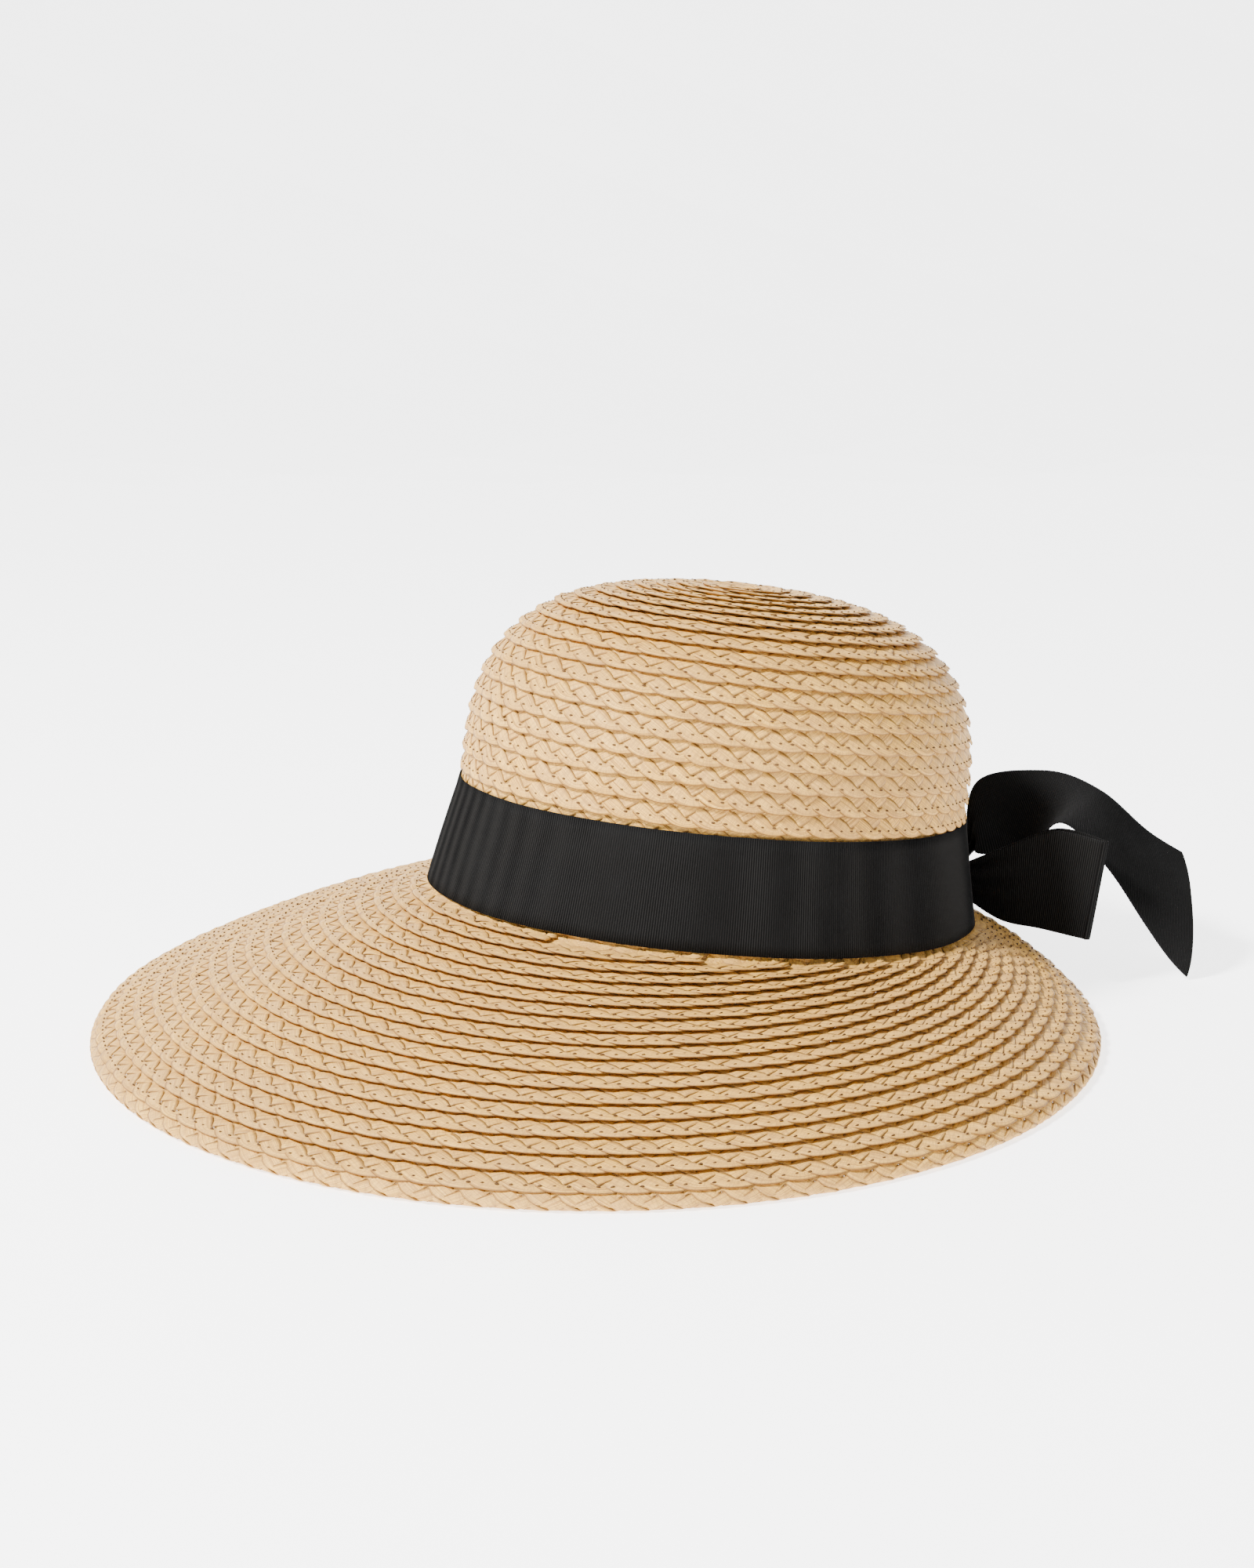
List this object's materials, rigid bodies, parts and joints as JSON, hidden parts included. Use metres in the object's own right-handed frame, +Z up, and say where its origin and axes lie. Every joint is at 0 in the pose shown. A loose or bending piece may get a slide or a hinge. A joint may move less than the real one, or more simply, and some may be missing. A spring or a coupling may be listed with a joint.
{
  "type": "straw sun hat",
  "caption": "Wide-brimmed sun hat of sewn straw plait with a round crown, a black grosgrain ribbon band and a loose bow at the back.",
  "frame": {"origin": "centre of the footprint of the hat and its bow, on the table that the brim stands on", "axes": "+Z up, +Y to the back of the head where the bow is, +X to the wearer's left"},
  "size_m": [0.361, 0.4068, 0.1554],
  "materials": {
    "straw": "plaited paper straw, matt with a faint sheen",
    "seam_thread": "cotton sewing thread",
    "sweatband": "black grosgrain",
    "ribbon_thread": "black sewing thread",
    "label": "woven blank label",
    "ribbon": "black grosgrain ribbon, cross-ribbed"
  },
  "bodies": {
    "hat": {"crown_button": "straw", "crown_tip": "straw", "crown_side": "straw", "crown_seam_thread": "seam_thread", "brim": "straw", "brim_edge": "straw", "brim_seam_thread": "seam_thread", "plait_end": "straw", "sweatband": "sweatband", "sweatband_join": "sweatband", "sweatband_thread": "ribbon_thread", "size_label": "label", "hat_band": "ribbon", "band_join": "ribbon", "band_tacks": "ribbon_thread", "bow_core": "ribbon", "bow_knot": "ribbon", "bow_tack": "ribbon_thread"},
    "loop_near": {"bow_loop_near": "ribbon"},
    "loop_far": {"bow_loop_far": "ribbon"},
    "tail_long": {"bow_tail_long": "ribbon"},
    "tail_short": {"bow_tail_short": "ribbon"}
  },
  "joints": [
    {"name": "tail_long_lift", "type": "hinge", "parent": "hat", "child": "tail_long", "pos_m": [0.002, 0.13657, 0.04739], "axis": [1, 0, 0], "range_deg": [-12, 20], "stiffness_Nm_per_rad": 0.02, "springref_deg": 1.15},
    {"name": "tail_short_swing", "type": "hinge", "parent": "hat", "child": "tail_short", "pos_m": [-0.006, 0.13957, 0.03039], "axis": [0.0992, 0.3968, -0.9125], "range_deg": [-3, 20], "stiffness_Nm_per_rad": 0.02},
    {"name": "loop_near_swing", "type": "hinge", "parent": "hat", "child": "loop_near", "pos_m": [0.0105, 0.12857, 0.03539], "axis": [0, 0, 1], "range_deg": [-8, 5], "stiffness_Nm_per_rad": 0.02},
    {"name": "loop_far_swing", "type": "hinge", "parent": "hat", "child": "loop_far", "pos_m": [-0.0105, 0.12857, 0.04539], "axis": [0, 0, 1], "range_deg": [-3, 12], "stiffness_Nm_per_rad": 0.02}
  ]
}
